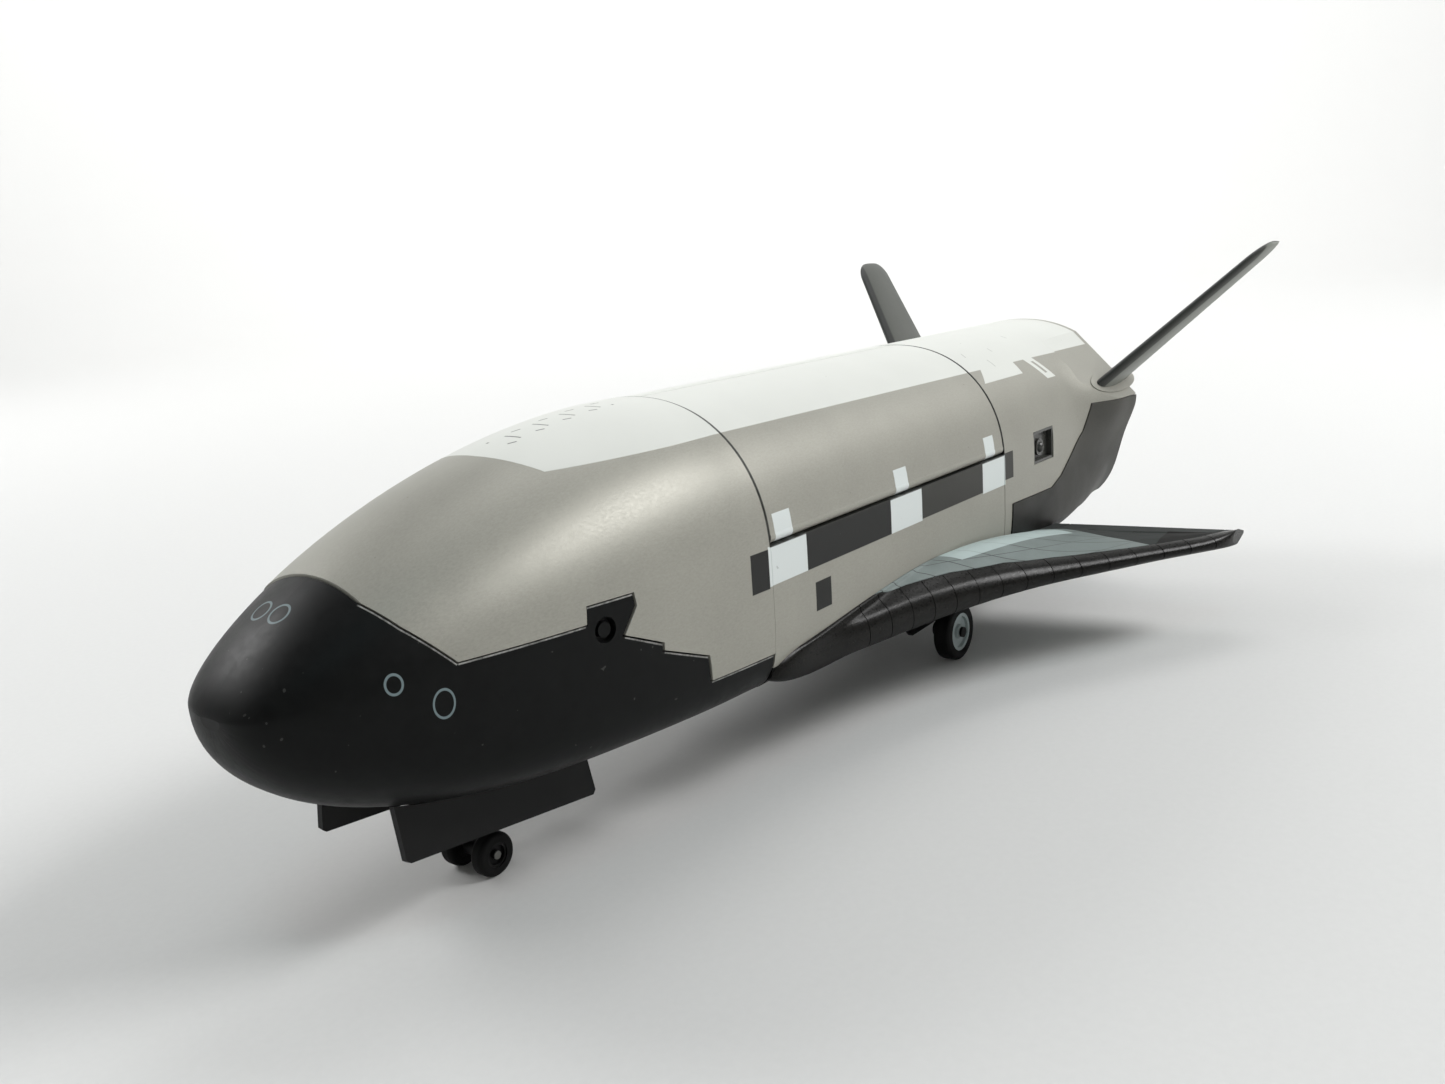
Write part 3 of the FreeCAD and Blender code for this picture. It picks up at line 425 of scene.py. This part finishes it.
def fin_paint():
    """Green-grey fins with a dark leading edge; the upper face is painted darker as shade, the under face lighter as
    painted light.
    """
    p = Paint("fin_satin")
    cloud = p.noise(0.3, 3.0, 0.6)
    grain = p.noise(6.0, 3.0, 0.6)
    span = p.plus(p.line(COS_45, p.out, -9.19), p.line(COS_45, p.z, -17.68))
    behind = p.minus(p.line(-0.657, span, -44.0), p.x)
    edge = p.inside(p.minus(behind, 0.9), 0.2)
    # painted light: the under face gets the lighter colour, the upper face the darker one as shade
    lower = p.above(p.plus(p.times(p.out, COS_45), p.line(-COS_45, p.z, COS_45 * 12.0)), 0, 0.1)
    colour = p.mottled(p.blend(lower, FIN_UPPER_SHADED, FIN_LOWER_LIT), cloud, (0.92, 1.08), grain, (-0.03, 0.03))
    colour = p.blend(p.times(edge, 0.85), colour, FIN_EDGE)
    return p.finish(colour, p.vary(cloud, 0.38, 0.48), p.bump(grain, 0.008), gloss=0.25)


def fairing_paint():
    """Dark taupe tail fairings, with painted shade darkening them towards the bottom and the front, by the wing root.
    """
    p = Paint("fairing_taupe_satin")
    cloud = p.noise(0.3, 3.0, 0.6)
    grain = p.noise(6.0, 3.0, 0.6)
    colour = p.mottled(TAUPE, cloud, (0.9, 1.1), grain, (-0.04, 0.04))
    # painted shade: darker towards the bottom and the front of the fairing
    fairing_shade = p.both(p.span(p.z, 13.0, 19.5, 0.95, 0.0), p.span(p.x, -34.0, -27.0, 0.45, 1.0))
    colour = p.blend(fairing_shade, colour, FAIRING_SHADE)
    return p.finish(colour, p.vary(cloud, 0.44, 0.54), p.bump(grain, 0.010), gloss=0.22)


# ---------------------------------------------------------------- small parts

# slot: colour, roughness, metallic, gloss
SMALL_FINISHES = {
    "gear_black": ((0.005, 0.005, 0.005), 0.42, 0.0, 0.2),
    "wheel_hub_grey": ((0.42, 0.48, 0.48), 0.50, 0.0, 0.3),
    "tyre_black": ((0.004, 0.004, 0.004), 0.60, 0.0, 0.15),
    "bay_white": ((0.70, 0.70, 0.66), 0.50, 0.0, 0.5),
    "structure_grey": ((0.26, 0.26, 0.25), 0.50, 0.0, 0.5),
    "nozzle_metal": ((0.20, 0.19, 0.18), 0.35, 0.9, 0.5),
    "sensor_dark": ((0.045, 0.045, 0.04), 0.30, 0.0, 0.5),
    "steel_pin": ((0.17, 0.17, 0.16), 0.38, 1.0, 0.5),
}
GRAIN_PER_MM = 6.0
GRAIN_DEPTH = 0.006
MOTTLE = 0.10


def small_finish(name, colour, rough, metallic, gloss):
    """A moulded or painted finish: fine grain, slow colour variation and uneven gloss."""
    p = Paint(name)
    grain = p.noise(GRAIN_PER_MM, 3.0, 0.6)
    cloud = p.noise(GRAIN_PER_MM / 9, 3.0, 0.6)
    colour = p.mottled(colour, cloud, (1 - MOTTLE, 1 + MOTTLE), grain, (-MOTTLE / 3, MOTTLE / 3))
    uneven = p.span(p.plus(grain, cloud), 0.7, 1.3, rough - 0.05, rough + 0.06)
    return p.finish(colour, uneven, p.bump(grain, GRAIN_DEPTH), metallic, gloss)


def dress():
    """Give every node the material of its slot."""
    materials = {"shell_grey": painted_shell(), "heat_shield_black": shield_black(), "wing_tile": wing_tiles(),
                 "edge_tile": edge_tiles(), "fin_grey": fin_paint(), "fairing_taupe": fairing_paint()}
    for slot, spec in SMALL_FINISHES.items():
        materials[slot] = small_finish(slot + "_finish", *spec)
    for name, node in NODES.items():
        node.data.materials.clear()
        node.data.materials.append(materials[SLOT_OF[name]])


# ---------------------------------------------------------------- studio

BOWL_FLAT, BOWL_BEND, BOWL_HEIGHT = 0.75, 0.5, 1.3
BOWL_SIDES, BOWL_STEPS = 96, 12
PAPER = (0.66, 0.66, 0.65)

MODEL_MIDDLE = Vector((0, 0, 0.018))
NEUTRAL = (1, 1, 1)
# name: azimuth, elevation, distance, width, height, power, tone
SOFTBOXES = {
    "key_port": (126, 40, 0.62, 0.30, 0.18, 2.7, NEUTRAL),
    "key_starboard": (-70, 33, 0.60, 0.20, 0.20, 1.35, NEUTRAL),
    "overhead": (205, 64, 0.75, 0.40, 0.36, 1.0, NEUTRAL),
    "rim_teal": (36, 62, 0.60, 0.16, 0.06, 0.12, (0.55, 0.95, 1.0)),
}
WALL_AZIMUTH = 218
SKY_TONE, SKY_STRENGTH = (0.95, 0.97, 1.0, 1.0), 0.30

CAMERA_PLACE = Vector((99.488, 68.299, 43.907)) * MM
CAMERA_AZIMUTH, CAMERA_ELEVATION, CAMERA_ROLL = 38.402, 13.348, -4.011
CAMERA_LENS, CAMERA_SENSOR = 30.807, 36.0
CAMERA_CLIP = (0.005, 20.0)


def floor_bowl():
    """A pale floor that curves up into a wall far from the model on every side."""
    profile = [(BOWL_FLAT, 0.0)]
    for i in range(1, BOWL_STEPS + 1):
        turn = math.pi / 2 * i / BOWL_STEPS
        profile.append((BOWL_FLAT + BOWL_BEND * math.sin(turn), BOWL_BEND * (1 - math.cos(turn))))
    profile.append((BOWL_FLAT + BOWL_BEND, BOWL_HEIGHT))
    mesh = bmesh.new()
    rings = []
    for r, z in profile:
        turns = [2 * math.pi * k / BOWL_SIDES for k in range(BOWL_SIDES)]
        rings.append([mesh.verts.new((r * math.cos(a), r * math.sin(a), z)) for a in turns])
    middle = mesh.verts.new((0, 0, 0))
    for k in range(BOWL_SIDES):
        after = (k + 1) % BOWL_SIDES
        mesh.faces.new((middle, rings[0][k], rings[0][after]))
        for low, high in zip(rings, rings[1:]):
            mesh.faces.new((low[k], high[k], high[after], low[after]))
    data = bpy.data.meshes.new("studio_floor")
    mesh.to_mesh(data)
    mesh.free()
    data.shade_smooth()
    floor = bpy.data.objects.new("studio_floor", data)
    bpy.context.scene.collection.objects.link(floor)
    paper = Paint("studio_paper")
    tooth = paper.noise(1.5, 4.0, 0.6)
    data.materials.append(paper.finish(paper.tint(PAPER, paper.vary(tooth, 0.985, 1.01)), 0.7))


def direction(azimuth, elevation):
    a, e = math.radians(azimuth), math.radians(elevation)
    return Vector((math.cos(a) * math.cos(e), math.sin(a) * math.cos(e), math.sin(e)))


def softbox(name, place, aim, width, height, power, tone=NEUTRAL):
    data = bpy.data.lights.new(name, "AREA")
    data.shape = "RECTANGLE"
    data.size, data.size_y = width, height
    data.energy = power
    data.color = tone
    light = bpy.data.objects.new(name, data)
    light.location = place
    light.rotation_mode = "QUATERNION"
    light.rotation_quaternion = (place - aim).to_track_quat("Z", "Y")
    bpy.context.scene.collection.objects.link(light)


def studio():
    floor_bowl()
    for name, (azimuth, elevation, distance, *box) in SOFTBOXES.items():
        softbox(name, MODEL_MIDDLE + direction(azimuth, elevation) * distance, MODEL_MIDDLE, *box)
    wall = direction(WALL_AZIMUTH, 0) * (BOWL_FLAT + BOWL_BEND) + Vector((0, 0, 0.35))
    softbox("backdrop", direction(WALL_AZIMUTH, 0) * 0.55 + Vector((0, 0, 0.85)), wall, 1.2, 0.2, 11.0)
    world = bpy.data.worlds.new("studio_air")
    world.use_nodes = True
    world.node_tree.nodes["Background"].inputs["Color"].default_value = SKY_TONE
    world.node_tree.nodes["Background"].inputs["Strength"].default_value = SKY_STRENGTH
    bpy.context.scene.world = world
    bpy.context.scene.view_settings.view_transform = "Standard"


def camera():
    """The camera stands close to the nose on the port bow, looks slightly down and leans a little."""
    back = direction(CAMERA_AZIMUTH, CAMERA_ELEVATION)
    level = Vector((0, 0, 1)).cross(back).normalized()
    rise = back.cross(level)
    roll = math.radians(CAMERA_ROLL)
    right = level * math.cos(roll) + rise * math.sin(roll)
    up = rise * math.cos(roll) - level * math.sin(roll)
    data = bpy.data.cameras.new("camera")
    data.sensor_width = CAMERA_SENSOR
    data.lens = CAMERA_LENS
    data.clip_start, data.clip_end = CAMERA_CLIP
    view = bpy.data.objects.new("camera", data)
    view.matrix_world = Matrix.Translation(CAMERA_PLACE) @ Matrix((right, up, back)).transposed().to_4x4()
    bpy.context.scene.collection.objects.link(view)
    bpy.context.scene.camera = view


dress()
studio()
camera()
